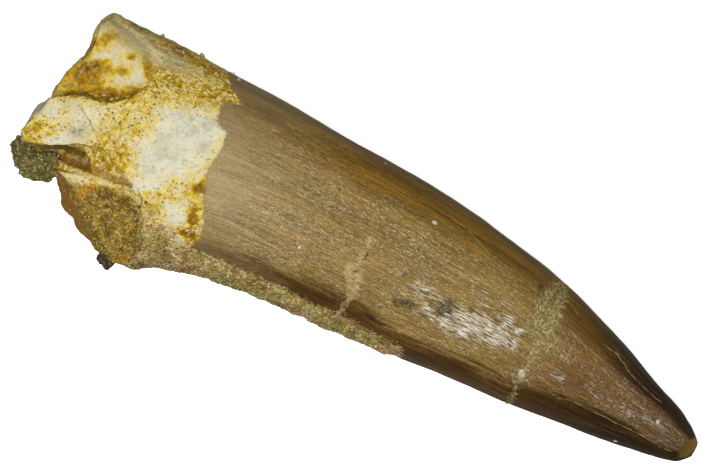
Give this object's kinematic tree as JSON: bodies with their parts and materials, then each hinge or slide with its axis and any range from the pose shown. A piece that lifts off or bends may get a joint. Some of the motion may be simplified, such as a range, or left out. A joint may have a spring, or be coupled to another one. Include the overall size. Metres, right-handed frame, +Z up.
{
  "type": "fossil plesiosaur tooth",
  "caption": "Fossil marine reptile tooth lying on its side: glossy brown crown, broken cream root, sandy matrix still stuck to it.",
  "frame": {"origin": "under the middle of the whole piece, on the surface it rests on", "axes": "+X along the tooth from the broken root to the worn tip, +Y across it, +Z up from the surface"},
  "size_m": [0.0478, 0.015, 0.0104],
  "materials": {
    "tooth": "fossil tooth: glossy streaked brown enamel on the crown, matt granular cream and ochre dentine on the root",
    "sandy_matrix": "matt fine sandy rock, grey-beige with dark and pale grains",
    "dark_matrix": "matt dark olive-brown granular rock",
    "dark_flake": "nearly black flake of rock, slightly satin"
  },
  "bodies": {
    "root": {"tooth": "tooth", "matrix_crust": "sandy_matrix", "matrix_nodule": "dark_matrix", "matrix_flake": "dark_flake"}
  },
  "joints": []
}
